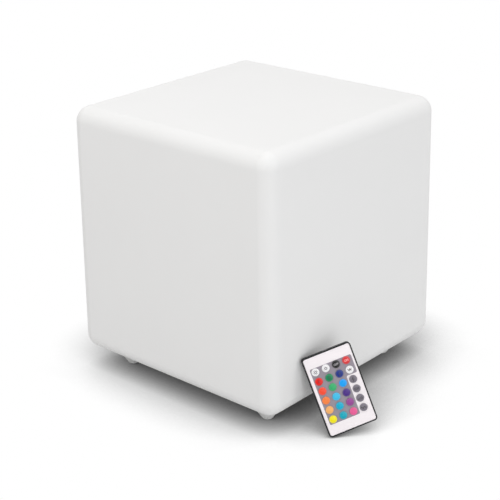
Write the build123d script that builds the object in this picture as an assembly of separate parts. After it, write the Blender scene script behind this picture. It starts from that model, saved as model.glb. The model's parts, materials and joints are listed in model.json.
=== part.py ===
from build123d import *
import math
import os

# LED cube light with its card remote. Millimetres, +Z up. The origin is on the floor, midway
# between the four feet. The front face looks along -Y, and the remote leans against it.

# ---- driving dimensions: cube ----
BASE_SIDE = 280.0           # side of the body at its underside
TOP_SIDE = 276.3            # side of the body at its top: the mould's draft
BODY_HEIGHT = 279.0
FLOOR_GAP = 22.4            # underside of the body above the floor
EDGE_RADIUS = 17.3
WALL = 3.5
INNER_CUT = 11.3            # the hollow's edges are cut, so that the wall keeps its thickness at the edges
FOOT_INSET = 40.0           # foot axis from the sides of the body at its underside
FOOT_TOP_R = 19.6
FOOT_TIP_R = 5.6

# ---- driving dimensions: light module in the underside ----
PLATE_SIDE = 150.0
PLATE_T = 3.0
PLATE_R = 12.0
PLATE_RECESS = 2.0          # the plate lies this deep in the underside
PLATE_GAP = 0.5             # around the plate
GASKET_T = 0.5
GASKET_OUT, GASKET_IN = 132.0, 126.0
NECK_SIDE = 122.0           # opening of the body's neck
NECK_CUT = 6.0
CUP_SIDE = 116.0
CUP_CUT = 5.0
CUP_WALL = 2.5
CUP_TOP = 72.4              # rim of the cup above the floor
LEDGE_Z = 62.4              # the light board lies on this ledge
LEDGE_T = 2.0
LEDGE_W = 4.0
BOARD_T = 1.6
BASE_SCREW_AT = 68.0        # screws at (+-68, +-68)
BOSS_SIDE, BOSS_H = 11.0, 8.0
SCREW_R = 1.5
SCREW_CLEAR_R = 1.75
PILOT_R = 1.55
HEX_R, HEX_H = 3.1, 1.8     # screw heads
SCREW_LENGTH = 12.0
CAP_TOP = 90.4
CAP_SKIRT_SIDE, CAP_TOP_SIDE = 104.0, 92.0
CAP_T = 2.0
LED_COUNT, LED_RING_R = 12, 34.0
LED_SIDE, LED_H = 5.0, 1.5
LED_SCREW_AT = 44.0
CELL_R = 9.3                # sleeved cylindrical cell
CELL_LENGTH = 68.0
CELL_Y = 14.0               # middle of the pack
BRACKET_W, BRACKET_T, BRACKET_TAB = 12.0, 1.2, 9.0
CONTROL_SIZE = (62.0, 26.0)
CONTROL_Y = -36.0
CONTROL_Z = 35.4            # underside of the control board
POST_SIDE = 5.0
CABLE_W, CABLE_T = 3.2, 1.4
CABLE_BEND = 5.0
BUTTON_X, LENS_X, PORT_X = -20.0, 0.0, 14.0
BUTTON_R = 6.0
BUTTON_GAP = 0.3
BUTTON_TRAVEL = 1.0
PORT_W, PORT_H = 8.94, 3.26
PORT_WALL = 0.3
PORT_SINK = 1.0             # mouth of the socket above the plate's underside
PLUG_GAP = 0.1
PLUG_HEAD = (14.0, 8.0, 1.4)
LENS_SIZE = (4.8, 1.8)

# ---- driving dimensions: card remote, in its own frame (back face down, +Y towards its top) ----
CARD_W, CARD_L, CARD_T = 52.5, 86.0, 6.8
CARD_R = 3.5
RIM_W = 1.3                 # black rim around the face
FACE_T = 0.6
FACE_SINK = 0.25            # face below the rim
FACE_GAP = 0.05
LEDGE_IN = 1.3              # ledge that carries the face
CASE_FLOOR = 0.9
CASE_BACK_CUT = 1.4         # around the edges of the back
PCB_Z, PCB_T = 4.1, 0.8
SHEET_T = 0.25              # sheet of snap domes
KEY_R = 4.15
KEY_SIDES = 20
KEY_H = 1.0
KEY_BEVEL = 0.45
KEY_TRAVEL = 0.3
TIGHT = 0.05                # least gap between a pressed key and what stops it
STEM_SIDE, STEM_HOLE = 2.2, 2.6
STEM_FOOT, STEM_FOOT_T = 3.4, 0.3
COLUMNS = (-16.8, -5.7, 5.4, 16.5)
ROWS = (26.0, 15.65, 5.3, -5.05, -15.4, -25.75)
KEY_NAMES = (
    ("brighter", "dimmer", "off", "on"),
    ("red", "green", "blue", "white"),
    ("orange_red", "light_green", "sky_blue", "flash"),
    ("orange", "cyan", "violet", "strobe"),
    ("amber", "turquoise", "purple", "fade"),
    ("yellow", "teal", "pink", "smooth"),
)
TRAY_W, TRAY_LENGTH, TRAY_T = 24.0, 24.8, 2.85
TRAY_GAP = 0.25
TRAY_FLOOR = 0.25
COIN_R, COIN_T = 10.0, 2.5
COIN_GAP = 0.15
EMITTER = (4.6, 5.0, 2.4)

# pose of the remote as it leans: turned, tipped back and rolled in its own plane
YAW, LEAN, ROLL = 41.9, 16.3, 18.1
CARD_CENTRE = (-70.85, -170.30, 45.81)   # middle of the card's back face

# ---- heights and places that follow ----
PLATE_Z = FLOOR_GAP + PLATE_RECESS
PLATE_TOP = PLATE_Z + PLATE_T
SEAT_Z = PLATE_TOP + GASKET_T
NECK_TOP = SEAT_Z + WALL
DRAFT = math.degrees(math.atan((BASE_SIDE - TOP_SIDE) / 2 / BODY_HEIGHT))
FOOT_AT = BASE_SIDE / 2 - FOOT_INSET
CUP_INNER = CUP_SIDE - 2 * CUP_WALL
LED_TOP = LEDGE_Z + BOARD_T
CELL_Z = PLATE_TOP + 0.2 + CELL_R
CONTROL_TOP = CONTROL_Z + BOARD_T
PORT_MOUTH_Z = PLATE_Z + PORT_SINK
TONGUE_Z = PORT_MOUTH_Z + 3.0
SWITCH_Z = CONTROL_Z - 4.3
STEM_TOP = SWITCH_Z - BUTTON_TRAVEL - 0.1
BRACKET_HALF = 2 * CELL_R + 0.2

FACE_TOP = CARD_T - FACE_SINK
FACE_Z = FACE_TOP - FACE_T
PCB_TOP = PCB_Z + PCB_T
CAP_UNDER = FACE_TOP + KEY_TRAVEL + TIGHT
STEM_FOOT_Z = PCB_TOP + SHEET_T + KEY_TRAVEL + TIGHT
TRAY_Z = CASE_FLOOR + 0.1
TRAY_TOP = TRAY_Z + TRAY_T
TRAY_END = -CARD_L / 2
COIN_Y = TRAY_END + 3.6 + COIN_R + COIN_GAP


# ---------------------------------------------------------------- shared shapes
def plate(outline, z0, z1):
    """Extrudes a flat outline from z0 up to z1."""
    return Pos(0, 0, z0) * extrude(outline, amount=z1 - z0)


def rounded(side, radius, length=None):
    return RectangleRounded(side, length or side, radius)


def cut_corners(side, cut, length=None):
    """A square or rectangle whose corners are cut at 45 degrees."""
    outline = Rectangle(side, length or side)
    return chamfer(outline.vertices(), cut)


def stadium(width, height):
    return SlotOverall(width, height)


def block(x, y, z):
    """A box between pairs of limits."""
    size = [b - a for a, b in (x, y, z)]
    middle = [(a + b) / 2 for a, b in (x, y, z)]
    return Pos(*middle) * Box(*size)


def column(side, z0, z1):
    """A square column on the Z axis."""
    return block((-side / 2, side / 2), (-side / 2, side / 2), (z0, z1))


def disc(radius, z0, z1):
    return Pos(0, 0, (z0 + z1) / 2) * Cylinder(radius, z1 - z0)


def turned(profile):
    """A solid of revolution about Z from (radius, height) points."""
    points = [(r, 0, z) for r, z in profile]
    return revolve(make_face(Polyline(*points, close=True)), axis=Axis.Z)


def four(x, y):
    """The four mirror images of a place."""
    return [(i * x, j * y) for i in (-1, 1) for j in (-1, 1)]


BASE_SCREWS = four(BASE_SCREW_AT, BASE_SCREW_AT)


# ---------------------------------------------------------------- cube
def drafted_block(inset):
    """The body's sharp, drafted block, with every side moved in by inset."""
    side = BASE_SIDE - 2 * inset
    height = BODY_HEIGHT - 2 * inset
    return Pos(0, 0, FLOOR_GAP + inset) * extrude(Rectangle(side, side), amount=height, taper=DRAFT)


def make_shell():
    """Hollow drafted body with a neck, a seat and four bosses for the light module."""
    outer, hollow = drafted_block(0), drafted_block(WALL)
    shell = fillet(outer.edges(), EDGE_RADIUS) - chamfer(hollow.edges(), INNER_CUT)
    pocket = PLATE_SIDE + 2 * PLATE_GAP
    shell += plate(cut_corners(pocket + 2 * WALL, NECK_CUT), FLOOR_GAP + WALL / 2, NECK_TOP)
    for x, y in BASE_SCREWS:
        shell += Pos(x, y, 0) * column(BOSS_SIDE, SEAT_Z, NECK_TOP + BOSS_H)
    shell -= plate(rounded(pocket, PLATE_R + PLATE_GAP), FLOOR_GAP - 1, SEAT_Z)
    shell -= plate(cut_corners(NECK_SIDE, NECK_CUT), SEAT_Z - 1, NECK_TOP + BOSS_H + 1)
    for x, y in BASE_SCREWS:
        shell -= Pos(x, y, 0) * disc(PILOT_R, SEAT_Z - 1, PLATE_Z + SCREW_LENGTH + 1)
    return shell


def make_feet():
    """Four tapered feet under the body's corners."""
    foot = turned(((0, 0), (FOOT_TIP_R, 0), (FOOT_TOP_R, FLOOR_GAP), (0, FLOOR_GAP)))
    return Compound([Pos(x, y, 0) * foot for x, y in four(FOOT_AT, FOOT_AT)])


# ---------------------------------------------------------------- light module
def make_base_housing():
    """Square plate with a cup above it, a ledge for the light board and posts for the control board."""
    housing = plate(rounded(PLATE_SIDE, PLATE_R), PLATE_Z, PLATE_TOP)
    housing += plate(cut_corners(CUP_SIDE, CUP_CUT), PLATE_Z, CUP_TOP)
    inside = cut_corners(CUP_INNER, CUP_CUT - 1)
    housing -= plate(inside, PLATE_TOP, LEDGE_Z - LEDGE_T)
    housing -= plate(cut_corners(CUP_INNER - 2 * LEDGE_W, CUP_CUT - 1), PLATE_TOP, LEDGE_Z)
    housing -= plate(inside, LEDGE_Z, CUP_TOP)
    for x, y in four(CONTROL_SIZE[0] / 2 - 3, CONTROL_SIZE[1] / 2 - 3):
        housing += Pos(x, y + CONTROL_Y, 0) * column(POST_SIDE, PLATE_TOP - 1, CONTROL_Z)
    below, above = PLATE_Z - 1, PLATE_TOP + 1
    for x, y in BASE_SCREWS:
        housing -= Pos(x, y, 0) * disc(SCREW_CLEAR_R, below, above)
    housing -= Pos(BUTTON_X, CONTROL_Y, 0) * disc(BUTTON_R + BUTTON_GAP, below, above)
    housing -= Pos(PORT_X, CONTROL_Y, 0) * plate(cut_corners(PORT_W + 0.6, 1.2, PORT_H + 0.6), below, above)
    housing -= Pos(LENS_X, CONTROL_Y, 0) * plate(Rectangle(LENS_SIZE[0] + 0.2, LENS_SIZE[1] + 0.2), below, above)
    return housing


def make_base_gasket():
    """Flat sealing frame between the plate and the body's seat."""
    frame = cut_corners(GASKET_OUT, NECK_CUT) - cut_corners(GASKET_IN, NECK_CUT - 2)
    return plate(frame, PLATE_TOP, SEAT_Z)


def make_base_screws():
    """Four hex-head screws, their heads level with the underside of the body."""
    head = plate(RegularPolygon(HEX_R, 6), PLATE_Z - HEX_H, PLATE_Z)
    screw = head + disc(SCREW_R, PLATE_Z - HEX_H / 2, PLATE_Z + SCREW_LENGTH)
    return Compound([Pos(x, y, 0) * screw for x, y in BASE_SCREWS])


def make_diffuser_cap():
    """Frosted cap: a rim on the cup and a tapered hollow crown over the light board."""
    height = CAP_TOP - CUP_TOP
    taper = math.degrees(math.atan((CAP_SKIRT_SIDE - CAP_TOP_SIDE) / 2 / height))
    crown = extrude(cut_corners(CAP_SKIRT_SIDE, CUP_CUT), amount=height, taper=taper)
    inner = CAP_SKIRT_SIDE - 2 * CAP_T
    hollow = extrude(cut_corners(inner, CUP_CUT - 1), amount=height - CAP_T, taper=taper)
    rim = plate(cut_corners(CUP_SIDE, CUP_CUT), CUP_TOP, CUP_TOP + CAP_T)
    return rim + Pos(0, 0, CUP_TOP) * crown - Pos(0, 0, CUP_TOP) * hollow


def make_led_board():
    return plate(cut_corners(CUP_INNER - 1, CUP_CUT - 1), LEDGE_Z, LED_TOP)


def make_led_chips():
    """A ring of square colour LEDs on the light board."""
    chip = Pos(LED_RING_R, 0, 0) * column(LED_SIDE, LED_TOP, LED_TOP + LED_H)
    return Compound([Rot(0, 0, 360 / LED_COUNT * k) * chip for k in range(LED_COUNT)])


def make_ir_receiver():
    """Receiver that looks up through the diffuser from the middle of the light board."""
    body = block((-3, 3), (-2.5, 2.5), (LED_TOP, LED_TOP + 7))
    lens = block((-2, 2), (-4, -2.5), (LED_TOP + 2, LED_TOP + 6))
    return body + lens


def make_control_board():
    """Charger and driver board with its controller, its coil and the pack's socket."""
    length, width = CONTROL_SIZE
    board = Pos(0, CONTROL_Y, CONTROL_Z + BOARD_T / 2) * Box(length, width, BOARD_T)
    controller = block((-16, -4), (CONTROL_Y - 5, CONTROL_Y + 3), (CONTROL_TOP, CONTROL_TOP + 2))
    coil = block((-27, -19), (CONTROL_Y - 8, CONTROL_Y), (CONTROL_TOP, CONTROL_TOP + 4))
    socket = block((20, 28), (CONTROL_Y - 3, CONTROL_Y + 3), (CONTROL_TOP, CONTROL_TOP + 5))
    return board + controller + coil + socket


def across(outline, length):
    """Extrudes a section drawn in the YZ plane along X, centred on the pack."""
    plane = Plane(origin=(-length / 2, CELL_Y, CELL_Z), x_dir=(0, 1, 0), z_dir=(1, 0, 0))
    return extrude(plane * outline, amount=length)


def make_battery_pack():
    """Two round cells side by side in one sleeve."""
    return across(stadium(4 * CELL_R, 2 * CELL_R), CELL_LENGTH)


def make_battery_bracket():
    """Hat-shaped strap over the pack, its tabs on the plate."""
    floor = PLATE_TOP - CELL_Z
    top = CELL_R + 0.1
    cut = 4.0
    out = BRACKET_HALF + BRACKET_T
    side = [
        (BRACKET_HALF - cut, top),
        (BRACKET_HALF, top - cut),
        (BRACKET_HALF, floor),
        (out + BRACKET_TAB, floor),
        (out + BRACKET_TAB, floor + BRACKET_T),
        (out, floor + BRACKET_T),
        (out, top + BRACKET_T - cut),
        (out - cut, top + BRACKET_T),
    ]
    points = side + [(-y, z) for y, z in reversed(side)]
    return across(make_face(Polyline(*points, close=True)), BRACKET_W)


def make_inner_screws():
    """Hex heads that hold the bracket's tabs and the light board."""
    head = RegularPolygon(HEX_R, 6)
    tab_y = BRACKET_HALF + BRACKET_T + BRACKET_TAB / 2
    tab_z = PLATE_TOP + BRACKET_T
    on_tab = plate(head, tab_z, tab_z + HEX_H)
    on_board = plate(head, LED_TOP, LED_TOP + HEX_H)
    screws = [Pos(0, CELL_Y + side * tab_y, 0) * on_tab for side in (-1, 1)]
    screws += [Pos(side * LED_SCREW_AT, side * LED_SCREW_AT, 0) * on_board for side in (-1, 1)]
    return Compound(screws)


def make_battery_cable():
    """Flat two-core lead from the end of the pack round to the socket on the control board."""
    z = CONTROL_TOP + 2.5
    y = CELL_Y - 10
    out = CELL_LENGTH / 2 + 9
    start = (CELL_LENGTH / 2, y, z)
    path = FilletPolyline(start, (out, y, z), (out, CONTROL_Y, z), (28, CONTROL_Y, z), radius=CABLE_BEND)
    section = Plane(origin=start, x_dir=(0, 1, 0), z_dir=(1, 0, 0)) * Rectangle(CABLE_T, CABLE_W)
    return sweep(section, path=path)


def make_led_cable():
    """Flat lead from the control board up to the light board."""
    return block((6, 6 + CABLE_W), (CONTROL_Y + 6, CONTROL_Y + 6 + CABLE_T), (CONTROL_TOP, LEDGE_Z))


def make_charging_port():
    """Charging socket on the control board's underside, its mouth downwards, with a tongue inside."""
    inner_w, inner_h = PORT_W - 2 * PORT_WALL, PORT_H - 2 * PORT_WALL
    socket = plate(cut_corners(PORT_W, 1.0, PORT_H), PORT_MOUTH_Z, CONTROL_Z)
    socket -= plate(cut_corners(inner_w, 0.9, inner_h), PORT_MOUTH_Z, CONTROL_Z - 2.5)
    socket += block((-3.3, 3.3), (-0.35, 0.35), (TONGUE_Z, CONTROL_Z - 1))
    return Pos(PORT_X, CONTROL_Y, 0) * socket


def make_port_plug():
    """Rubber bung: a stem in the socket and a finger-sized head under the plate."""
    shrink = 2 * (PORT_WALL + PLUG_GAP)
    head_w, head_l, head_t = PLUG_HEAD
    top = PLATE_Z - PLUG_GAP
    stem = plate(cut_corners(PORT_W - shrink, 0.9, PORT_H - shrink), top - head_t / 2, TONGUE_Z - 0.3)
    head = plate(stadium(head_w, head_l), top - head_t, top)
    return Pos(PORT_X, CONTROL_Y, 0) * (head + stem)


def make_power_button():
    """Round button with a square collar that keeps it in the plate, and a stem under the switch."""
    cap = disc(BUTTON_R, PLATE_Z - 0.9, PLATE_TOP + 0.5)
    collar = column(2 * BUTTON_R + 2.4, PLATE_TOP + 0.1, PLATE_TOP + 1.1)
    stem = column(3.0, PLATE_TOP + 1, STEM_TOP)
    return Pos(BUTTON_X, CONTROL_Y, 0) * (cap + collar + stem)


def make_power_switch():
    body = column(6.0, SWITCH_Z + 1.1, CONTROL_Z)
    plunger = column(2.4, SWITCH_Z, SWITCH_Z + 2)
    return Pos(BUTTON_X, CONTROL_Y, 0) * (body + plunger)


def make_status_lens():
    """Light pipe from the control board's indicator down through the plate."""
    return Pos(LENS_X, CONTROL_Y, 0) * plate(Rectangle(*LENS_SIZE), PLATE_Z, CONTROL_Z)


# ---------------------------------------------------------------- card remote
def card_plane():
    """The remote's own frame: back face on the plane, its width along X and its length along Y."""
    yaw, lean, roll = (math.radians(a) for a in (YAW, LEAN, ROLL))
    normal = Vector(-math.sin(yaw) * math.cos(lean), -math.cos(yaw) * math.cos(lean), math.sin(lean))
    level = Vector(math.cos(yaw), -math.sin(yaw), 0)
    width = level * math.cos(roll) + normal.cross(level) * math.sin(roll)
    return Plane(origin=CARD_CENTRE, x_dir=width, z_dir=normal)


def make_remote_case():
    """Black tray with a rim round the face, a ledge under it, board rails and a slot for the tray."""
    rim = 2 * RIM_W
    inner = rim + 2 * LEDGE_IN
    case = plate(rounded(CARD_W, CARD_R, CARD_L), 0, CARD_T)
    case = chamfer(case.faces().sort_by(Axis.Z)[0].edges(), CASE_BACK_CUT)
    case -= plate(rounded(CARD_W - rim, CARD_R - RIM_W, CARD_L - rim), FACE_Z, CARD_T + 1)
    case -= plate(Rectangle(CARD_W - inner, CARD_L - inner), CASE_FLOOR, FACE_Z + 1)
    tray_side = TRAY_W / 2 + TRAY_GAP
    rail = (CASE_FLOOR - 0.2, PCB_Z)
    for side in (-1, 1):
        edge = sorted((side * tray_side, side * (tray_side + 2.5)))
        case += block(edge, (TRAY_END + RIM_W, TRAY_END + TRAY_LENGTH + 2), rail)
        case += block((side * 12 - 1, side * 12 + 1), (12, 34), rail)
    case -= block((-tray_side, tray_side), (TRAY_END - 1, TRAY_END + 4), (CASE_FLOOR, PCB_Z))
    width, _, height = EMITTER
    case -= block((-width / 2, width / 2), (CARD_L / 2 - 4, CARD_L / 2 + 1), (PCB_Z - height, PCB_Z))
    return case


def make_remote_face():
    """White face plate, pierced for the stem of each key."""
    gap = 2 * (RIM_W + FACE_GAP)
    face = plate(rounded(CARD_W - gap, CARD_R - RIM_W, CARD_L - gap), FACE_Z, FACE_TOP)
    hole = column(STEM_HOLE, FACE_Z - 1, FACE_TOP + 1)
    return face - [Pos(x, y, 0) * hole for x in COLUMNS for y in ROWS]


def make_key():
    """Cap over the face, a square stem through it and a foot that keeps the key in."""
    cap = plate(RegularPolygon(KEY_R, KEY_SIDES), CAP_UNDER, CAP_UNDER + KEY_H)
    cap = chamfer(cap.faces().sort_by(Axis.Z)[-1].edges(), KEY_BEVEL)
    stem = column(STEM_SIDE, STEM_FOOT_Z, CAP_UNDER + KEY_H / 2)
    foot = column(STEM_FOOT, STEM_FOOT_Z, STEM_FOOT_Z + STEM_FOOT_T)
    return cap + stem + foot


def make_remote_board():
    inner = 2 * (RIM_W + LEDGE_IN) + 0.6
    return plate(Rectangle(CARD_W - inner, CARD_L - inner), PCB_Z, PCB_TOP)


def make_dome_sheet():
    """Sheet that carries a snap dome under each key."""
    width = COLUMNS[-1] - COLUMNS[0] + 2 * KEY_R
    length = ROWS[0] - ROWS[-1] + 2 * KEY_R
    return plate(Rectangle(width, length), PCB_TOP, PCB_TOP + SHEET_T)


def make_ir_emitter():
    """Infrared diode under the board, its window in the case's top edge."""
    width, length, height = EMITTER
    half = width / 2 - 0.05
    return block((-half, half), (CARD_L / 2 - length, CARD_L / 2), (PCB_Z - height + 0.05, PCB_Z))


def make_battery_tray():
    """Slide-out tray with a pull ridge and an open pocket for the cell."""
    tray = block((-TRAY_W / 2, TRAY_W / 2), (TRAY_END, TRAY_END + TRAY_LENGTH), (TRAY_Z, TRAY_TOP))
    tray += block((-6, 6), (TRAY_END - 0.8, TRAY_END + 0.5), (TRAY_Z + 0.6, TRAY_TOP - 0.6))
    pocket = 2 * (COIN_R + COIN_GAP)
    return tray - Pos(0, COIN_Y, 0) * plate(cut_corners(pocket, 5.0), TRAY_Z + TRAY_FLOOR, TRAY_TOP + 1)


def make_coin_cell():
    z0 = TRAY_Z + TRAY_FLOOR
    return Pos(0, COIN_Y, 0) * disc(COIN_R, z0, z0 + COIN_T)


def make_battery_contacts():
    """Two leaves under the board, over the cell's face and near its edge."""
    z = (TRAY_TOP + 0.08, PCB_Z)
    leaf = block((-2, 2), (COIN_Y - 4, COIN_Y + 4), z)
    edge_leaf = block((6, 8), (COIN_Y - 3, COIN_Y + 3), z)
    return Compound([leaf, edge_leaf])


# ---------------------------------------------------------------- assembly
def make_lamp():
    return {
        "shell": make_shell(),
        "feet": make_feet(),
        "base_housing": make_base_housing(),
        "base_gasket": make_base_gasket(),
        "base_screws": make_base_screws(),
        "diffuser_cap": make_diffuser_cap(),
        "led_board": make_led_board(),
        "led_chips": make_led_chips(),
        "inner_screws": make_inner_screws(),
        "ir_receiver": make_ir_receiver(),
        "control_board": make_control_board(),
        "battery_pack": make_battery_pack(),
        "battery_bracket": make_battery_bracket(),
        "battery_cable": make_battery_cable(),
        "led_cable": make_led_cable(),
        "charging_port": make_charging_port(),
        "port_plug": make_port_plug(),
        "power_button": make_power_button(),
        "power_switch": make_power_switch(),
        "status_lens": make_status_lens(),
    }


def make_remote():
    """The remote's pieces in its own frame."""
    pieces = {
        "remote_case": make_remote_case(),
        "remote_face": make_remote_face(),
        "remote_board": make_remote_board(),
        "dome_sheet": make_dome_sheet(),
        "ir_emitter": make_ir_emitter(),
        "battery_contacts": make_battery_contacts(),
        "battery_tray": make_battery_tray(),
        "coin_cell": make_coin_cell(),
    }
    key = make_key()
    for y, names in zip(ROWS, KEY_NAMES):
        for x, name in zip(COLUMNS, names):
            pieces[f"key_{name}"] = Pos(x, y, 0) * key
    return pieces


os.makedirs("parts", exist_ok=True)
card = card_plane().location
nodes = make_lamp() | {name: card * piece for name, piece in make_remote().items()}
for name, shape in nodes.items():
    export_step(shape, f"parts/{name}.step")
print("lowest point of the remote", round(nodes["remote_case"].bounding_box().min.Z, 3))
print("gap between remote and shell", round(nodes["remote_case"].distance_to(nodes["shell"]), 3))
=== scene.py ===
import json
import math

import bmesh
import bpy
from bpy.props import FloatProperty, FloatVectorProperty, IntProperty, PointerProperty
from mathutils import Matrix, Vector


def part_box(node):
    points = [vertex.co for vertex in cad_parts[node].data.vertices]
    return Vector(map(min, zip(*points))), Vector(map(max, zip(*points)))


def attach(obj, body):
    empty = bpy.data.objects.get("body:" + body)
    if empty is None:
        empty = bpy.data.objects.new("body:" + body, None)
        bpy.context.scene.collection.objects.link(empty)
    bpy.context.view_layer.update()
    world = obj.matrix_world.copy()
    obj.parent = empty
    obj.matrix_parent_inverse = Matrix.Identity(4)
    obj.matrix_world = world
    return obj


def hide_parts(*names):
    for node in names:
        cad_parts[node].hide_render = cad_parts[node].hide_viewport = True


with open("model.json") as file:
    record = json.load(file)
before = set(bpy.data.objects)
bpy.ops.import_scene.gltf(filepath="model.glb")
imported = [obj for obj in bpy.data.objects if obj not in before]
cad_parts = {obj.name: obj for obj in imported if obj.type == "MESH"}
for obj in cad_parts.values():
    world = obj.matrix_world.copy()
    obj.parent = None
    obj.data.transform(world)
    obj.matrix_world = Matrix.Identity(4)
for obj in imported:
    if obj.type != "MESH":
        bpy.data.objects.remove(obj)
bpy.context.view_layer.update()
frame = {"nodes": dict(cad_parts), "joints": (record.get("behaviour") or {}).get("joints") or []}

bl_info = {
    "name": "LED cube light",
    "version": (1, 0, 0),
    "blender": (4, 5, 0),
    "location": "View3D > Sidebar > Cube light",
    "description": "Dresses the packed cube light and its card remote in smooth forms and finishes",
    "category": "Object",
}

MM = 0.001
NODES = frame["nodes"]

# sockets of a Mix node for colours, by number, because its sockets for numbers have the same names
MIX_FIRST, MIX_SECOND, MIX_RESULT = 6, 7, 2

# feet
FOOT_TOP_RADIUS = 19.6 * MM
FOOT_TIP_RADIUS = 5.6 * MM

# printed field of the remote, in the remote's own frame: an L that leaves out its lower right
FIELD_LEFT, FIELD_RIGHT = -21.6 * MM, 23.0 * MM
FIELD_BOTTOM, FIELD_TOP = -30.6 * MM, 30.2 * MM
FIELD_STEP_X, FIELD_STEP_Y = 11.2 * MM, 10.6 * MM
FIELD_THICKNESS = 0.00002
FIELD_HOLE_HALF = 0.0013        # half the side of the opening under a key

# keys
KEY_CAP_HEIGHT = 1.0 * MM
RIM_SHARE = 0.30                # height of a dome's rim, as a share of its middle's
DOME_RINGS = (0, 0.2, 0.4, 0.56, 0.7, 0.8, 0.87, 0.92, 0.96, 0.985, 1.0)
KEY_EDGE = 0.00005              # chamfer of the cap's lower edge
STEM_HALF = 0.0011
STEM_TOP = 0.00002
STEM_FOOT_HALF = 0.0017
STEM_FOOT_HEIGHT = 0.0003

# marks on the keys, in millimetres
MARK_LIFT = 0.015
SUN_OUTER, SUN_INNER = 1.35, 0.72
RAY_START, RAY_WIDTH = 1.6, 0.48
RAY_LENGTHS = {"sun": 0.75, "small sun": 0.35}
STROKE_WIDTH, BAR_WIDTH = 0.8, 0.75
BAR_PLACES = (-2.0, -0.7, 0.6, 1.9)
LETTER_SIZE, WORD_SIZE = 3.9, 2.9
LETTER_WEIGHT = 0.16
LETTER_EDGE = 0.35              # longer edges are cut, so that a letter follows its dome

# floor and its contact shadow
FLOOR_HALF = 12
FLOOR_DROP = 0.00005            # the floor lies this far under the feet
SHADOW_LEAN = (-0.34, -0.18, 0.92)
SHADOW_CURVE = 1.7              # over 1, the shadow's middle tones are darker

# name of a lamp: its place, what it points at, its width and its colour
LAMPS = {
    "overhead": ((0.2, 0.1, 2.6), (0, 0, 0.2), 2.4, (1, 1, 1)),
    "left": ((-1.1, 0.1, 1.0), (-0.14, 0, 0.25), 0.5, (1.0, 0.985, 0.96)),
    "front": ((-0.8, -2.0, 0.5), (-0.06, -0.16, 0.08), 1.2, (0.97, 0.985, 1.0)),
    "right": ((0.9, -1.9, 0.4), (-0.02, -0.14, 0.1), 0.9, (1, 1, 1)),
}

# camera: its direction in degrees, its place from the aim in millimetres along its own axes,
# the aim in metres, and the lens and sensor in millimetres
CAMERA_TURN, CAMERA_RISE, CAMERA_ROLL = -48.24, 22.07, -0.88
CAMERA_BACK, CAMERA_RIGHT, CAMERA_UP = 1467.05, -7.198, -28.421
CAMERA_AIM = (0, 0, 0.16156)
CAMERA_LENS, CAMERA_SENSOR = 96.531, 36


# ---------------------------------------------------------------- shader recipes
class Wire:
    """An output of a material's nodes. Arithmetic on wires adds Math nodes."""

    def __init__(self, recipe, socket):
        self.recipe = recipe
        self.socket = socket

    def maths(self, operation, first, second):
        return self.recipe.node("Math", {"operation": operation}, {0: first, 1: second})

    def __add__(self, other):
        return self.maths("ADD", self, other)

    def __radd__(self, other):
        return self.maths("ADD", other, self)

    def __sub__(self, other):
        return self.maths("SUBTRACT", self, other)

    def __mul__(self, other):
        return self.maths("MULTIPLY", self, other)

    def __gt__(self, other):
        return self.maths("GREATER_THAN", self, other)


class Recipe:
    """The node tree of one finish, or of the world."""

    def __init__(self, owner):
        owner.use_nodes = True
        self.owner = owner
        self.tree = owner.node_tree

    def node(self, kind, settings=None, sockets=None, output=0):
        """Adds a node, sets it up, then fills its sockets with numbers, colours or wires."""
        made = self.tree.nodes.new("ShaderNode" + kind)
        for key, value in (settings or {}).items():
            setattr(made, key, value)
        for key, value in (sockets or {}).items():
            self.fill(made.inputs[key], value)
        return Wire(self, made.outputs[output])

    def fill(self, socket, value):
        """Links a wire to a socket, or sets the socket's own value."""
        if isinstance(value, Wire):
            self.tree.links.new(value.socket, socket)
        else:
            socket.default_value = value

    def place(self):
        """The point on the piece, in metres."""
        return self.node("TexCoord", output="Object")

    def noise(self, size, detail=2.0, stretch=(1, 1, 1)):
        """Soft noise whose patches are about size metres across."""
        spot = self.node("Mapping", {}, {"Vector": self.place(), "Scale": stretch})
        sockets = {"Vector": spot, "Scale": 1 / size, "Detail": detail}
        return self.node("TexNoise", {}, sockets)

    def cells(self, size):
        """Dots about size metres apart, low in their middles."""
        sockets = {"Vector": self.place(), "Scale": 1 / size}
        return self.node("TexVoronoi", {}, sockets, output="Distance")

    def between(self, mask, low, high):
        """Mixes two colours by a mask."""
        sockets = {"Factor": mask, MIX_FIRST: low, MIX_SECOND: high}
        return self.node("Mix", {"data_type": "RGBA"}, sockets, output=MIX_RESULT)

    def relief(self, height, depth, strength):
        """A normal from a height of the given depth in metres."""
        return self.node("Bump", {}, {"Height": height, "Distance": depth, "Strength": strength})

    def finish(self, **sockets):
        """Fills the sockets of the main shader: underscores stand for spaces."""
        shader = self.tree.nodes["Principled BSDF"]
        for key, value in sockets.items():
            self.fill(shader.inputs[key.replace("_", " ").title().replace("Ior", "IOR")], value)
        return self.owner


def recipe(name):
    """The recipe of a new material."""
    return Recipe(bpy.data.materials.new(name))


def shade(colour, factor):
    """A colour made darker or lighter."""
    return tuple(min(1.0, c * factor) for c in colour[:3]) + (1.0,)


def tone(red, green, blue):
    """A colour written as 0 to 255 on a screen."""
    parts = (c / 255 for c in (red, green, blue))
    return tuple(c / 12.92 if c < 0.04045 else ((c + 0.055) / 1.055) ** 2.4 for c in parts)


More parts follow.
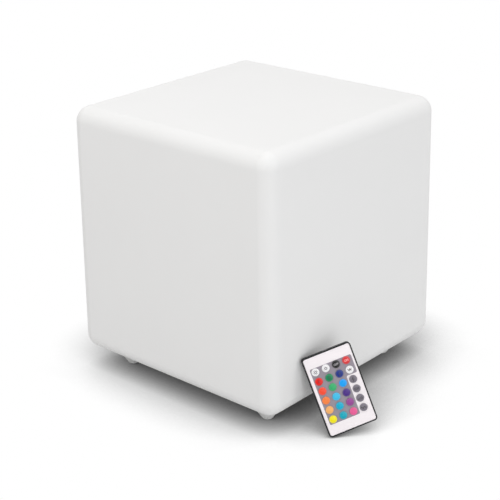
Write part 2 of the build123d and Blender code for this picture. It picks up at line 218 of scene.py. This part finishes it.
def moulded_skin(name, colour, roughness, ripple):
    """Rotomoulded polyethylene: slow ripples, a fine orange peel and faint clouds in the white."""
    depth = 0.0004
    r = recipe(name)
    clouds = r.noise(0.09, 3.0)
    peel = r.noise(0.0016, 2.0)
    pores = r.noise(0.0005, 1.0)
    height = r.noise(0.12, 1.0) * (ripple / depth) + peel * 0.05 + pores * 0.012
    return r.finish(
        base_color=r.between(clouds, shade(colour, 0.985), shade(colour, 1.012)),
        roughness=roughness + (peel - 0.5) * 0.10,
        normal=r.relief(height, depth, 0.6),
        ior=1.51,
    )


def plastic(name, colour, roughness, grain=0.0006, depth=0.00003, coat=0.0, shine=0.5):
    """Injection-moulded plastic with a spark-eroded grain and faint flow marks."""
    r = recipe(name)
    fine = r.noise(grain, 2.0)
    flow = r.noise(grain * 40, 2.0, (1, 1, 2.5))
    return r.finish(
        base_color=r.between(flow, shade(colour, 0.94), shade(colour, 1.05)),
        roughness=roughness + (fine - 0.5) * 0.16,
        normal=r.relief(fine, depth, 0.5),
        specular_ior_level=shine,
        coat_weight=coat,
        coat_roughness=0.12,
    )


def rubber(name, colour):
    """Moulded rubber: dull, a little dusty in random patches."""
    r = recipe(name)
    dust = r.noise(0.004, 4.0)
    fine = r.noise(0.0004, 2.0)
    return r.finish(
        base_color=r.between(dust, shade(colour, 0.85), shade(colour, 1.25)),
        roughness=0.74 + (fine - 0.5) * 0.2,
        normal=r.relief(fine, 0.00004, 0.5),
    )


def metal(name, colour, roughness, stretch=(1, 1, 12)):
    """Bare metal with drawn lines, or even grain where nothing is stretched, and a few dull spots."""
    r = recipe(name)
    lines = r.noise(0.002, 3.0, stretch)
    spots = r.noise(0.006, 4.0)
    return r.finish(
        base_color=r.between(spots, shade(colour, 0.86), shade(colour, 1.08)),
        metallic=1.0,
        roughness=roughness + (lines - 0.5) * 0.22,
        normal=r.relief(lines, 0.00001, 0.4),
    )


def circuit_mask(name, colour, track_colour):
    """Solder mask over tracks that run in short straight pieces."""
    r = recipe(name)
    sockets = {"Vector": r.place(), "Scale": 260}
    tracks = r.node("TexVoronoi", {"feature": "DISTANCE_TO_EDGE"}, sockets)
    mask = tracks > 0.09
    fine = r.noise(0.0005, 2.0)
    return r.finish(
        base_color=r.between(mask, track_colour, shade(colour, 1.0)),
        roughness=0.34 + (fine - 0.5) * 0.12,
        normal=r.relief(mask, 0.00003, 0.5),
    )


def frosted(name, colour):
    """Frosted diffuser plastic: milky, with a very fine etched grain."""
    r = recipe(name)
    etch = r.noise(0.0003, 2.0)
    return r.finish(
        base_color=r.between(r.noise(0.03), shade(colour, 0.97), shade(colour, 1.02)),
        roughness=0.62 + (etch - 0.5) * 0.2,
        normal=r.relief(etch, 0.00003, 0.6),
        transmission_weight=0.25,
    )


def key_gloss(name, colour, gloss):
    """Domed key under a clear gloss, on the key's own UV map; its rim is drawn towards mid-grey, a painted
    sheen on the darker keys and painted shade on the white ones.
    """
    # mid-grey that each rim is drawn to: painted sheen on the darker keys, painted shade on the white ones
    rim_sheen_and_shade_grey, rim_sheen_and_shade_share = 0.62, 0.12
    r = recipe(name)
    spot = r.node("UVMap", {"uv_map": "dome"})
    out = r.node("VectorMath", {"operation": "LENGTH"}, {0: spot}, output="Value")
    rim = r.node("MapRange", {"interpolation_type": "SMOOTHSTEP"}, {0: out, 1: 0.55, 2: 1.0})
    speckle = r.noise(0.0004, 2.0)
    middle = r.between(speckle, shade(colour, 0.95), shade(colour, 1.04))
    # the rim's colour, with painted sheen and painted shade: the key's colour moved part way to mid-grey
    pale = tuple(c + (rim_sheen_and_shade_grey - c) * rim_sheen_and_shade_share for c in colour[:3]) + (1.0,)
    return r.finish(
        base_color=r.between(rim, middle, pale),
        roughness=gloss + (speckle - 0.5) * 0.06,
        normal=r.relief(r.noise(0.0012, 1.0), 0.00002, 0.3),
        specular_ior_level=0.12,
        coat_weight=0.12,
        coat_roughness=0.16,
    )


def printed_ink(name, colour):
    """Screen-printed ink: nearly flat, with a faint dot pattern."""
    r = recipe(name)
    dots = r.cells(0.00025)
    return r.finish(
        base_color=r.between(dots, shade(colour, 1.04), shade(colour, 0.95)),
        roughness=0.5 + (r.noise(0.0008) - 0.5) * 0.1,
    )


# ---------------------------------------------------------------- pieces
def card_place():
    """The remote's own frame, read from its joints and its case: back face down, +Y to its top."""
    axes = {j["name"]: Vector(j["axis"]) for j in frame["joints"]}
    normal = -axes["key_red_press"].normalized()
    length = -axes["battery_tray_slide"].normalized()
    width = length.cross(normal).normalized()
    turn = Matrix((width, length, normal)).transposed()
    spots = [turn.transposed() @ v.co for v in NODES["remote_case"].data.vertices]
    low = Vector(min(c) for c in zip(*spots))
    high = Vector(max(c) for c in zip(*spots))
    middle = (low + high) / 2
    origin = turn @ Vector((middle.x, middle.y, low.z))
    return Matrix.Translation(origin) @ turn.to_4x4()


CARD = card_place()


def card_box(node):
    """Lowest and highest corner of a node in the remote's own frame."""
    back = CARD.inverted()
    spots = [back @ v.co for v in NODES[node].data.vertices]
    return Vector(min(c) for c in zip(*spots)), Vector(max(c) for c in zip(*spots))


def add_piece(name, bm, body, material, replaced=(), place=None, sharp=32.0):
    """Turns a bmesh into a finished piece that rides on a body."""
    if not bm.faces:
        raise RuntimeError(f"{name} came out empty")
    if place is not None:
        bmesh.ops.transform(bm, matrix=place, verts=bm.verts)
    mesh = bpy.data.meshes.new(name)
    bm.to_mesh(mesh)
    bm.free()
    mesh.shade_smooth()
    mesh.set_sharp_from_angle(angle=math.radians(sharp))
    mesh.materials.append(material)
    piece = bpy.data.objects.new(name, mesh)
    bpy.context.scene.collection.objects.link(piece)
    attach(piece, body)
    if replaced:
        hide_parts(*replaced)
    return piece


def weigh_normals(piece):
    """Keeps broad faces flat beside small rounded edges."""
    weighted = piece.modifiers.new("weighted normals", "WEIGHTED_NORMAL")
    weighted.keep_sharp = True


def merged_copy(node):
    """A clean bmesh of a CAD node: its triangles joined, its flat faces whole."""
    bm = bmesh.new()
    bm.from_mesh(NODES[node].data)
    bmesh.ops.remove_doubles(bm, verts=bm.verts, dist=0.000002)
    bmesh.ops.dissolve_limit(
        bm, angle_limit=math.radians(0.4), verts=bm.verts, edges=bm.edges,
        use_dissolve_boundaries=False,
    )
    return bm


def eased(node, radius, body, material, segments=2, corner=38.0):
    """A CAD node with its outer edges rounded, in place of the node."""
    bm = merged_copy(node)
    limit = math.radians(corner)
    edges = [e for e in bm.edges if e.is_manifold and e.is_convex and e.calc_face_angle(0) > limit]
    bmesh.ops.bevel(
        bm, geom=edges, offset=radius, offset_type="OFFSET", segments=segments, profile=0.5,
        affect="EDGES", clamp_overlap=True, loop_slide=True, material=-1,
    )
    weigh_normals(add_piece(f"{node}_eased", bm, body, material, (node,)))


def dress(node, material):
    """Gives a CAD node that stays its material."""
    for place in NODES[node].material_slots:
        place.material = material


def turned_profile(points, steps=96):
    """Spins (radius, height) points about Z; both ends lie on the axis."""
    bm = bmesh.new()
    line = [bm.verts.new((r, 0, z)) for r, z in points]
    edges = [bm.edges.new(pair) for pair in zip(line, line[1:])]
    bmesh.ops.spin(
        bm, geom=line + edges, cent=(0, 0, 0), axis=(0, 0, 1), angle=2 * math.pi, steps=steps,
        use_merge=True,
    )
    bmesh.ops.remove_doubles(bm, verts=bm.verts, dist=0.000001)
    bmesh.ops.recalc_face_normals(bm, faces=bm.faces)
    return bm


def box_into(bm, low, high):
    """Adds a box between two corners."""
    size = [b - a for a, b in zip(low, high)]
    middle = [(a + b) / 2 for a, b in zip(low, high)]
    place = Matrix.Translation(middle) @ Matrix.Diagonal((*size, 1))
    bmesh.ops.create_cube(bm, size=1, matrix=place)


# ---------------------------------------------------------------- settings
class CubeLook(bpy.types.PropertyGroup):
    """The moulded body and its feet."""

    skin_colour: FloatVectorProperty(
        name="Body colour", description="Colour of the moulded body", subtype="COLOR",
        default=(0.865, 0.862, 0.858), min=0, max=1,
    )
    skin_roughness: FloatProperty(
        name="Body roughness", description="How matt the body is", default=0.55, min=0, max=1,
    )
    ripple: FloatProperty(
        name="Ripple", description="Height of the slow waves in the body's faces",
        default=0.00022, min=0, max=0.002, unit="LENGTH",
    )
    foot_colour: FloatVectorProperty(
        name="Foot colour", description="Colour of the four feet", subtype="COLOR",
        default=(0.80, 0.80, 0.79), min=0, max=1,
    )


class BaseLook(bpy.types.PropertyGroup):
    """The plate in the underside and what shows on it."""

    plate_colour: FloatVectorProperty(
        name="Plate colour", description="Colour of the square plate", subtype="COLOR",
        default=(0.76, 0.76, 0.76), min=0, max=1,
    )
    button_colour: FloatVectorProperty(
        name="Button colour", description="Colour of the power button", subtype="COLOR",
        default=(0.30, 0.30, 0.31), min=0, max=1,
    )
    bung_colour: FloatVectorProperty(
        name="Bung colour", description="Colour of the rubber bung", subtype="COLOR",
        default=(0.42, 0.42, 0.42), min=0, max=1,
    )
    edge: FloatProperty(
        name="Edge rounding", description="Radius of the plate's moulded edges",
        default=0.0004, min=0, max=0.001, unit="LENGTH",
    )


class RemoteLook(bpy.types.PropertyGroup):
    """The card remote's case, face and print."""

    case_colour: FloatVectorProperty(
        name="Case colour", description="Colour of the case", subtype="COLOR",
        default=(0.016, 0.016, 0.018), min=0, max=1,
    )
    face_colour: FloatVectorProperty(
        name="Face colour", description="Colour of the face plate", subtype="COLOR",
        default=tone(247, 240, 243), min=0, max=1,
    )
    field_colour: FloatVectorProperty(
        name="Field colour", description="Colour of the printed field behind the keys", subtype="COLOR",
        default=tone(148, 140, 151), min=0, max=1,
    )
    edge: FloatProperty(
        name="Edge rounding", description="Radius of the case's edges",
        default=0.00035, min=0, max=0.001, unit="LENGTH",
    )
    corner: FloatProperty(
        name="Field corner", description="Corner radius of the printed field",
        default=0.0016, min=0, max=0.004, unit="LENGTH",
    )


class KeyLook(bpy.types.PropertyGroup):
    """The domed keys."""

    radius: FloatProperty(
        name="Key radius", description="Radius of a key's dome", default=0.00408, min=0.001, max=0.0041,
        unit="LENGTH",
    )
    height: FloatProperty(
        name="Dome height", description="Height of the dome over its underside", default=0.00098,
        min=0.0002, max=0.001, unit="LENGTH",
    )
    gloss: FloatProperty(
        name="Key roughness", description="How matt a key is", default=0.24, min=0, max=1,
    )
    steps: IntProperty(
        name="Key steps", description="Sides of a key's dome", default=48, min=12, max=96,
    )


class StageLook(bpy.types.PropertyGroup):
    """Floor, light and camera."""

    floor_shown: FloatProperty(
        name="Floor brightness", description="How pale the floor looks to the camera", default=1.0,
        min=0, max=2,
    )
    floor_bounce: FloatProperty(
        name="Floor bounce", description="How much light the floor gives back", default=0.70,
        min=0, max=1,
    )
    floor_dark: FloatProperty(
        name="Shadow brightness", description="How pale the floor looks in its deepest shadow",
        default=0.06, min=0, max=2,
    )
    shadow_reach: FloatProperty(
        name="Shadow reach", description="How far the contact shadow spreads", default=0.12,
        min=0.001, max=1, unit="LENGTH",
    )
    shadow_full: FloatProperty(
        name="Deepest shadow", description="Share of open sky at which the shadow is deepest", default=0.09,
        min=0, max=0.9,
    )
    shadow_none: FloatProperty(
        name="Shadow end", description="Share of open sky from which there is no shadow", default=0.86,
        min=0.1, max=1,
    )
    sky: FloatProperty(
        name="Sky", description="Strength of the even light all round", default=0.55, min=0, max=2,
    )
    overhead: FloatProperty(
        name="Overhead lamp", description="Power of the soft lamp above", default=21.4, min=0, max=500,
        subtype="POWER",
    )
    left: FloatProperty(
        name="Left lamp", description="Power of the soft lamp at the left", default=3.3,
        min=0, max=500, subtype="POWER",
    )
    front: FloatProperty(
        name="Front lamp", description="Power of the soft lamp before the remote", default=9.9,
        min=0, max=500, subtype="POWER",
    )
    right: FloatProperty(
        name="Right lamp", description="Power of the low lamp at the right", default=3.0, min=0, max=500,
        subtype="POWER",
    )


# ---------------------------------------------------------------- operators
class DressCube(bpy.types.Operator):
    """Smooths the body's skin and makes the four feet"""

    bl_idname = "cube_light.dress_cube"
    bl_label = "Body and feet"

    def execute(self, context):
        look = context.scene.cube_look
        skin = moulded_skin("body polyethylene", look.skin_colour, look.skin_roughness, look.ripple)
        bm = merged_copy("shell")
        weigh_normals(add_piece("body_skin", bm, "lamp", skin, ("shell",)))
        self.make_feet(plastic("foot plastic", look.foot_colour, 0.5, grain=0.0008, depth=0.00004))
        return {"FINISHED"}

    def make_feet(self, material):
        """Four tapered feet with rounded tips."""
        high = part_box("feet")[1]
        top, reach = high.z, high.x
        outer, tip = FOOT_TOP_RADIUS, FOOT_TIP_RADIUS
        slope = (outer - tip) / top
        profile = [
            (0, 0.0002),
            (tip - 0.0022, 0),
            (tip - 0.0008, 0.0001),
            (tip + 0.0002, 0.0007),
            (tip + slope * 0.0020, 0.0020),
            (outer - slope * 0.0018, top - 0.0018),
            (outer - slope * 0.0006, top - 0.0007),
            (outer, top),
            (0, top),
        ]
        whole = bmesh.new()
        for x in (-1, 1):
            for y in (-1, 1):
                foot = turned_profile(profile)
                spot = Matrix.Translation((x * (reach - outer), y * (reach - outer), 0))
                bmesh.ops.transform(foot, matrix=spot, verts=foot.verts)
                part = bpy.data.meshes.new("foot")
                foot.to_mesh(part)
                foot.free()
                whole.from_mesh(part)
                bpy.data.meshes.remove(part)
        add_piece("tapered_feet", whole, "lamp", material, ("feet",), sharp=40)


class DressBase(bpy.types.Operator):
    """Finishes the plate in the underside, its screws, button, bung and light pipe"""

    bl_idname = "cube_light.dress_base"
    bl_label = "Underside"

    def execute(self, context):
        look = context.scene.base_look
        small_edge = 0.0003
        plate = plastic("base plate plastic", look.plate_colour, 0.52, grain=0.0007, depth=0.00005)
        steel = metal("screw steel", (0.58, 0.58, 0.58), 0.30, (1, 1, 1))
        eased("base_housing", look.edge, "lamp", plate)
        eased("base_screws", small_edge, "lamp", steel, corner=50.0)
        dress("inner_screws", steel)
        dress("base_gasket", rubber("gasket rubber", (0.05, 0.05, 0.05)))
        button = plastic("button plastic", look.button_colour, 0.4, grain=0.0004, depth=0.00002)
        eased("power_button", small_edge, "power_button", button)
        bung = rubber("bung rubber", look.bung_colour)
        eased("port_plug", small_edge, "port_plug", bung)
        dress("status_lens", frosted("light pipe", (0.88, 0.90, 0.90)))
        return {"FINISHED"}


class DressInside(bpy.types.Operator):
    """Finishes what the body and the remote hold inside"""

    bl_idname = "cube_light.dress_inside"
    bl_label = "Inner pieces"

    def execute(self, context):
        green, green_track = (0.03, 0.20, 0.09), (0.09, 0.34, 0.14, 1)
        white, white_track = (0.86, 0.86, 0.84), (0.62, 0.62, 0.60, 1)
        red = (0.42, 0.05, 0.05)
        finishes = {
            "diffuser_cap": frosted("diffuser", (0.88, 0.88, 0.86)),
            "led_board": circuit_mask("white solder mask", white, white_track),
            "led_chips": plastic(
                "light chip", (0.93, 0.83, 0.42), 0.28, grain=0.0005, depth=0.00002, coat=0.4
            ),
            "ir_receiver": plastic("receiver epoxy", (0.02, 0.02, 0.022), 0.18, depth=0.00001, coat=0.5),
            "control_board": circuit_mask("control board mask", green, green_track),
            "remote_board": circuit_mask("remote board mask", green, green_track),
            "battery_pack": plastic(
                "cell sleeve", (0.06, 0.20, 0.46), 0.22, grain=0.0009, depth=0.00001, coat=0.5
            ),
            "battery_bracket": metal("bracket steel", (0.62, 0.62, 0.62), 0.36, (12, 1, 1)),
            "battery_cable": rubber("battery lead", red),
            "led_cable": rubber("light lead", red),
            "charging_port": metal("socket steel", (0.64, 0.64, 0.64), 0.24),
            "power_switch": plastic("switch plastic", (0.04, 0.04, 0.04), 0.4),
            "dome_sheet": metal("snap dome steel", (0.62, 0.60, 0.55), 0.28, (1, 1, 1)),
            "ir_emitter": plastic("emitter epoxy", (0.05, 0.02, 0.04), 0.14, depth=0.00001, coat=0.6),
            "battery_contacts": metal("contact brass", (0.72, 0.56, 0.28), 0.26),
        }
        for node, material in finishes.items():
            dress(node, material)
        return {"FINISHED"}


class DressRemote(bpy.types.Operator):
    """Rounds the remote's case, lays its face and prints the field"""

    bl_idname = "cube_light.dress_remote"
    bl_label = "Remote"

    def execute(self, context):
        look = context.scene.remote_look
        case = plastic(
            "remote case plastic", look.case_colour, 0.50, grain=0.0004, depth=0.00002, shine=0.2
        )
        eased("remote_case", look.edge, "remote", case)
        face = plastic(
            "remote face plastic", look.face_colour, 0.40, grain=0.0005, depth=0.00001, coat=0.15
        )
        eased("remote_face", 0.0001, "remote", face)
        self.print_field(printed_ink("field print", look.field_colour), look.corner)
        eased("battery_tray", 0.0002, "battery_tray", case)
        cell = metal("button cell steel", (0.42, 0.42, 0.41), 0.44, (1, 1, 1))
        eased("coin_cell", 0.0003, "battery_tray", cell, segments=3)
        return {"FINISHED"}

    def print_field(self, ink, corner):
        """The grey field: two full rows, then three columns; open under each key."""
        top = card_box("remote_face")[1].z
        bm = bmesh.new()
        outline = (
            (FIELD_LEFT, FIELD_TOP),
            (FIELD_RIGHT, FIELD_TOP),
            (FIELD_RIGHT, FIELD_STEP_Y),
            (FIELD_STEP_X, FIELD_STEP_Y),
            (FIELD_STEP_X, FIELD_BOTTOM),
            (FIELD_LEFT, FIELD_BOTTOM),
        )
        face = bm.faces.new([bm.verts.new((x, y, top)) for x, y in outline])
        bmesh.ops.bevel(
            bm, geom=list(face.verts), offset=corner, offset_type="OFFSET", segments=8, profile=0.5,
            affect="VERTICES", clamp_overlap=True, material=-1,
        )
        bmesh.ops.delete(bm, geom=list(bm.faces), context="FACES_ONLY")
        for key in KEYS:
            low, high = card_box(f"key_{key}")
            x, y = (low.x + high.x) / 2, (low.y + high.y) / 2
            if y > FIELD_STEP_Y or x < FIELD_STEP_X:
                square = bmesh.ops.create_grid(bm, x_segments=1, y_segments=1, size=FIELD_HOLE_HALF)
                hole = square["verts"]
                bmesh.ops.translate(bm, vec=(x, y, top), verts=hole)
                bmesh.ops.delete(bm, geom=list(hole[0].link_faces), context="FACES_ONLY")
        bmesh.ops.triangle_fill(bm, use_beauty=True, edges=bm.edges, normal=(0, 0, 1))
        up = bmesh.ops.extrude_face_region(bm, geom=list(bm.faces))["geom"]
        lifted = [v for v in up if isinstance(v, bmesh.types.BMVert)]
        bmesh.ops.translate(bm, vec=(0, 0, FIELD_THICKNESS), verts=lifted)
        bmesh.ops.recalc_face_normals(bm, faces=bm.faces)
        add_piece("field_print", bm, "remote", ink, place=CARD)


# name of the key: its colour, the colour of its mark, and the mark
KEYS = {
    "brighter": (tone(246, 245, 247), tone(96, 88, 96), "sun"),
    "dimmer": (tone(246, 245, 247), tone(96, 88, 96), "small sun"),
    "off": (tone(14, 12, 16), tone(150, 146, 150), "OFF"),
    "on": (tone(224, 50, 56), tone(255, 160, 160), "ON"),
    "red": (tone(236, 22, 16), tone(176, 8, 14), "R"),
    "green": (tone(0, 136, 86), tone(0, 82, 52), "G"),
    "blue": (tone(22, 48, 136), tone(12, 24, 92), "B"),
    "white": (tone(248, 247, 249), tone(74, 56, 58), "W"),
    "orange_red": (tone(255, 78, 50), None, None),
    "light_green": (tone(52, 178, 110), None, None),
    "sky_blue": (tone(0, 164, 253), None, None),
    "flash": (tone(124, 118, 129), tone(58, 54, 60), "zigzag"),
    "orange": (tone(255, 133, 64), None, None),
    "cyan": (tone(58, 193, 237), None, None),
    "violet": (tone(73, 40, 134), None, None),
    "strobe": (tone(124, 118, 129), tone(58, 54, 60), "bars"),
    "amber": (tone(253, 182, 108), None, None),
    "turquoise": (tone(0, 178, 213), None, None),
    "purple": (tone(152, 70, 150), None, None),
    "fade": (tone(124, 118, 129), tone(58, 54, 60), "ramp"),
    "yellow": (tone(253, 237, 24), None, None),
    "teal": (tone(0, 170, 192), None, None),
    "pink": (tone(237, 92, 153), None, None),
    "smooth": (tone(124, 118, 129), tone(58, 54, 60), "wave"),
}


class DressKeys(bpy.types.Operator):
    """Makes the domed keys with their stems, and prints their marks"""

    bl_idname = "cube_light.dress_keys"
    bl_label = "Keys"

    def execute(self, context):
        look = context.scene.key_look
        inks = {}
        for key, (colour, ink_colour, mark) in KEYS.items():
            node = f"key_{key}"
            low, high = card_box(node)
            middle = Vector(((low.x + high.x) / 2, (low.y + high.y) / 2, high.z - KEY_CAP_HEIGHT))
            place = CARD @ Matrix.Translation(middle)
            material = key_gloss(f"{key.replace('_', ' ')} key", colour, look.gloss)
            bm = self.dome(look, low.z - middle.z)
            add_piece(f"dome_{key}", bm, node, material, (node,), place, 50)
            if mark:
                if ink_colour not in inks:
                    inks[ink_colour] = printed_ink(f"mark ink {len(inks) + 1}", ink_colour)
                flat = self.mark(mark)
                for v in flat.verts:
                    v.co.z = self.crown(look, v.co.xy.length) + MARK_LIFT * MM
                add_piece(f"mark_{key}", flat, node, inks[ink_colour], place=place)
        return {"FINISHED"}

    def crown(self, look, out):
        """Height of the dome at a distance from its middle."""
        share = min(out / look.radius, 1.0)
        return look.height * (RIM_SHARE + (1 - RIM_SHARE) * (1 - share ** 3.0) ** 0.55)

    def dome(self, look, foot):
        """A dome with its UV map, over a square stem and its foot, whose underside is at height foot."""
        points = [(look.radius * s, self.crown(look, look.radius * s)) for s in DOME_RINGS]
        points += [(look.radius, KEY_EDGE), (look.radius - KEY_EDGE, 0), (0, 0)]
        bm = turned_profile(points, look.steps)
        grid = bm.loops.layers.uv.new("dome")
        for face in bm.faces:
            for loop in face.loops:
                loop[grid].uv = loop.vert.co.xy / look.radius
        foot_top = foot + STEM_FOOT_HEIGHT
        box_into(bm, (-STEM_HALF, -STEM_HALF, foot_top), (STEM_HALF, STEM_HALF, STEM_TOP))
        box_into(bm, (-STEM_FOOT_HALF, -STEM_FOOT_HALF, foot), (STEM_FOOT_HALF, STEM_FOOT_HALF, foot_top))
        return bm

    def mark(self, kind):
        """A printed mark in the XY plane, in metres."""
        bm = bmesh.new()
        if kind in RAY_LENGTHS:
            self.ring(bm, SUN_OUTER * MM, SUN_INNER * MM)
            for k in range(8):
                turn = Matrix.Rotation(k * math.pi / 4, 4, "Z")
                start = turn @ Vector((RAY_START * MM, 0, 0))
                end = turn @ Vector(((RAY_START + RAY_LENGTHS[kind]) * MM, 0, 0))
                self.bar(bm, start, end, RAY_WIDTH * MM)
        elif kind == "zigzag":
            self.line(bm, ((0.5, 2.1), (-1.1, 0.2), (0.8, -0.1), (-0.7, -2.1)), STROKE_WIDTH)
        elif kind == "bars":
            for x in BAR_PLACES:
                self.line(bm, ((x, -1.1), (x, 1.1)), BAR_WIDTH)
        elif kind == "ramp":
            for k, x in enumerate(BAR_PLACES):
                self.line(bm, ((x, -1.3), (x, -0.7 + 0.65 * k)), BAR_WIDTH)
        elif kind == "wave":
            points = [(x / 10, 0.8 * math.sin(x / 10 * 2.2)) for x in range(-24, 25, 3)]
            self.line(bm, points, STROKE_WIDTH)
        else:
            self.letters(bm, kind)
        return bm

    def ring(self, bm, outer, inner):
        """A flat printed ring that faces up."""
        loops = [bmesh.ops.create_circle(bm, segments=32, radius=r)["verts"] for r in (outer, inner)]
        edges = {e for loop in loops for v in loop for e in v.link_edges}
        made = bmesh.ops.bridge_loops(bm, edges=list(edges))["faces"]
        bmesh.ops.recalc_face_normals(bm, faces=made)
        if made[0].normal.z < 0:
            bmesh.ops.reverse_faces(bm, faces=made)

    def bar(self, bm, start, end, width):
        """A straight printed stroke."""
        along = end - start
        angle = math.atan2(along.y, along.x)
        place = Matrix.Translation((start + end) / 2) @ Matrix.Rotation(angle, 4, "Z")
        place = place @ Matrix.Diagonal((along.length, width, 1, 1))
        bmesh.ops.create_grid(bm, x_segments=4, y_segments=1, size=0.5, matrix=place)

    def line(self, bm, points, width):
        """Strokes from point to point, in millimetres, with round joints."""
        spots = [Vector((x * MM, y * MM, 0)) for x, y in points]
        for start, end in zip(spots, spots[1:]):
            self.bar(bm, start, end, width * MM)
        for spot in spots:
            place = Matrix.Translation(spot)
            bmesh.ops.create_circle(bm, cap_ends=True, segments=12, radius=width * MM / 2, matrix=place)

    def letters(self, bm, words):
        """Letters centred on the key, cut small enough to follow its dome; a single one is larger."""
        size = LETTER_SIZE if len(words) == 1 else WORD_SIZE
        curve = bpy.data.curves.new("letters", "FONT")
        curve.body = words
        curve.size = size * MM
        curve.align_x = "CENTER"
        curve.offset = LETTER_WEIGHT * MM
        curve.resolution_u = 6
        text = bpy.data.objects.new("letters", curve)
        bpy.context.scene.collection.objects.link(text)
        flat = bpy.data.meshes.new_from_object(text)
        bm.from_mesh(flat)
        bpy.data.objects.remove(text)
        bpy.data.curves.remove(curve)
        bpy.data.meshes.remove(flat)
        low = min(v.co.y for v in bm.verts)
        high = max(v.co.y for v in bm.verts)
        bmesh.ops.translate(bm, vec=(0, -(low + high) / 2, 0), verts=bm.verts)
        bmesh.ops.triangulate(bm, faces=bm.faces)
        for _ in range(4):
            long = [e for e in bm.edges if e.calc_length() > LETTER_EDGE * MM]
            bmesh.ops.subdivide_edges(bm, edges=long, cuts=1)
            bmesh.ops.triangulate(bm, faces=bm.faces)


class SetStage(bpy.types.Operator):
    """Lays the floor, hangs the soft light and sets the camera"""

    bl_idname = "cube_light.set_stage"
    bl_label = "Stage"

    def execute(self, context):
        look = context.scene.stage_look
        self.make_floor(look)
        self.make_sky(context.scene, look)
        for name, (place, target, size, colour) in LAMPS.items():
            self.hang(f"{name} lamp", place, target, size, getattr(look, name), colour)
        self.set_camera(context.scene)
        context.scene.view_settings.view_transform = "Standard"
        return {"FINISHED"}

    def seen(self, r):
        """1 for rays that look at the stage, 0 for those that only light things."""
        rays = ("Is Camera Ray", "Is Glossy Ray", "Is Transmission Ray")
        first, *others = [r.node("LightPath", {}, {}, ray) for ray in rays]
        for other in others:
            first = first.maths("MAXIMUM", first, other)
        return first

    def make_floor(self, look):
        """A pale floor whose contact shadow deepens close to what stands on it."""
        r = recipe("pale floor")
        bounce = r.node("BsdfDiffuse", {}, {"Color": (look.floor_bounce,) * 3 + (1,)})
        dark = r.node("BsdfDiffuse", {}, {"Color": (look.floor_dark,) * 3 + (1,)})
        pale = r.node("Emission", {}, {"Strength": look.floor_shown})
        lean = r.node("CombineXYZ", {}, dict(enumerate(SHADOW_LEAN)))
        reach = {"Distance": look.shadow_reach, "Normal": lean}
        sky = r.node("AmbientOcclusion", {"samples": 16}, reach, "AO")
        open_sky = r.node("MapRange", {}, {0: sky, 1: look.shadow_full, 2: look.shadow_none})
        clear = open_sky.maths("POWER", open_sky, SHADOW_CURVE)
        shown = r.node("MixShader", {}, {0: clear, 1: dark, 2: pale})
        surface = r.node("MixShader", {}, {0: self.seen(r), 1: bounce, 2: shown})
        r.fill(r.tree.nodes["Material Output"].inputs["Surface"], surface)
        bm = bmesh.new()
        bmesh.ops.create_grid(bm, x_segments=1, y_segments=1, size=FLOOR_HALF)
        bmesh.ops.translate(bm, vec=(0, 0, -FLOOR_DROP), verts=bm.verts)
        mesh = bpy.data.meshes.new("floor")
        bm.to_mesh(mesh)
        bm.free()
        mesh.materials.append(r.owner)
        floor = bpy.data.objects.new("floor", mesh)
        bpy.context.scene.collection.objects.link(floor)

    def make_sky(self, scene, look):
        """Even light all round, which looks white to the rays that look at the stage."""
        scene.world = bpy.data.worlds.new("even light")
        r = Recipe(scene.world)
        strength = look.sky + self.seen(r) * (1 - look.sky)
        ground = r.tree.nodes["Background"]
        r.fill(ground.inputs["Color"], (1, 1, 1, 1))
        r.fill(ground.inputs["Strength"], strength)

    def hang(self, name, place, target, size, power, colour):
        """A round soft lamp that points at its target."""
        data = bpy.data.lights.new(name, "AREA")
        data.shape = "DISK"
        data.size = size
        data.energy = power
        data.color = colour
        lamp = bpy.data.objects.new(name, data)
        lamp.location = place
        lamp.rotation_euler = (Vector(place) - Vector(target)).to_track_quat("Z", "Y").to_euler()
        lamp.visible_camera = False
        bpy.context.scene.collection.objects.link(lamp)

    def set_camera(self, scene):
        """A camera that sees the light and its remote as the photograph does."""
        turn, rise, roll = (math.radians(a) for a in (CAMERA_TURN, CAMERA_RISE, CAMERA_ROLL))
        flat = math.cos(rise)
        back = Vector((math.sin(turn) * flat, -math.cos(turn) * flat, math.sin(rise)))
        level = Vector((math.cos(turn), math.sin(turn), 0))
        over = back.cross(level)
        right = level * math.cos(roll) + over * math.sin(roll)
        up = over * math.cos(roll) - level * math.sin(roll)
        spot = (back * CAMERA_BACK + right * CAMERA_RIGHT + up * CAMERA_UP) * MM
        data = bpy.data.cameras.new("camera")
        data.lens = CAMERA_LENS
        data.sensor_width = CAMERA_SENSOR
        data.clip_start = 0.01
        camera = bpy.data.objects.new("camera", data)
        facing = Matrix((right, up, back)).transposed().to_4x4()
        camera.matrix_world = Matrix.Translation(Vector(CAMERA_AIM) + spot) @ facing
        scene.collection.objects.link(camera)
        scene.camera = camera


OPERATORS = (SetStage, DressCube, DressBase, DressInside, DressRemote, DressKeys)
LOOKS = {
    "cube_look": CubeLook,
    "base_look": BaseLook,
    "remote_look": RemoteLook,
    "key_look": KeyLook,
    "stage_look": StageLook,
}


class CubeLightPanel(bpy.types.Panel):
    """Lists the steps that dress the cube light"""

    bl_idname = "VIEW3D_PT_cube_light"
    bl_label = "Cube light"
    bl_space_type = "VIEW_3D"
    bl_region_type = "UI"
    bl_category = "Cube light"

    def draw(self, context):
        for operator in OPERATORS:
            self.layout.operator(operator.bl_idname)
        for name, look in LOOKS.items():
            box = self.layout.box()
            for prop in look.__annotations__:
                box.prop(getattr(context.scene, name), prop)


def register():
    for kind in (*LOOKS.values(), *OPERATORS, CubeLightPanel):
        bpy.utils.register_class(kind)
    for name, look in LOOKS.items():
        setattr(bpy.types.Scene, name, PointerProperty(type=look))


def unregister():
    for name in LOOKS:
        delattr(bpy.types.Scene, name)
    for kind in reversed((*LOOKS.values(), *OPERATORS, CubeLightPanel)):
        bpy.utils.unregister_class(kind)


def main():
    register()
    for operator in OPERATORS:
        group, name = operator.bl_idname.split(".")
        getattr(getattr(bpy.ops, group), name)()


if __name__ == "__main__":
    main()
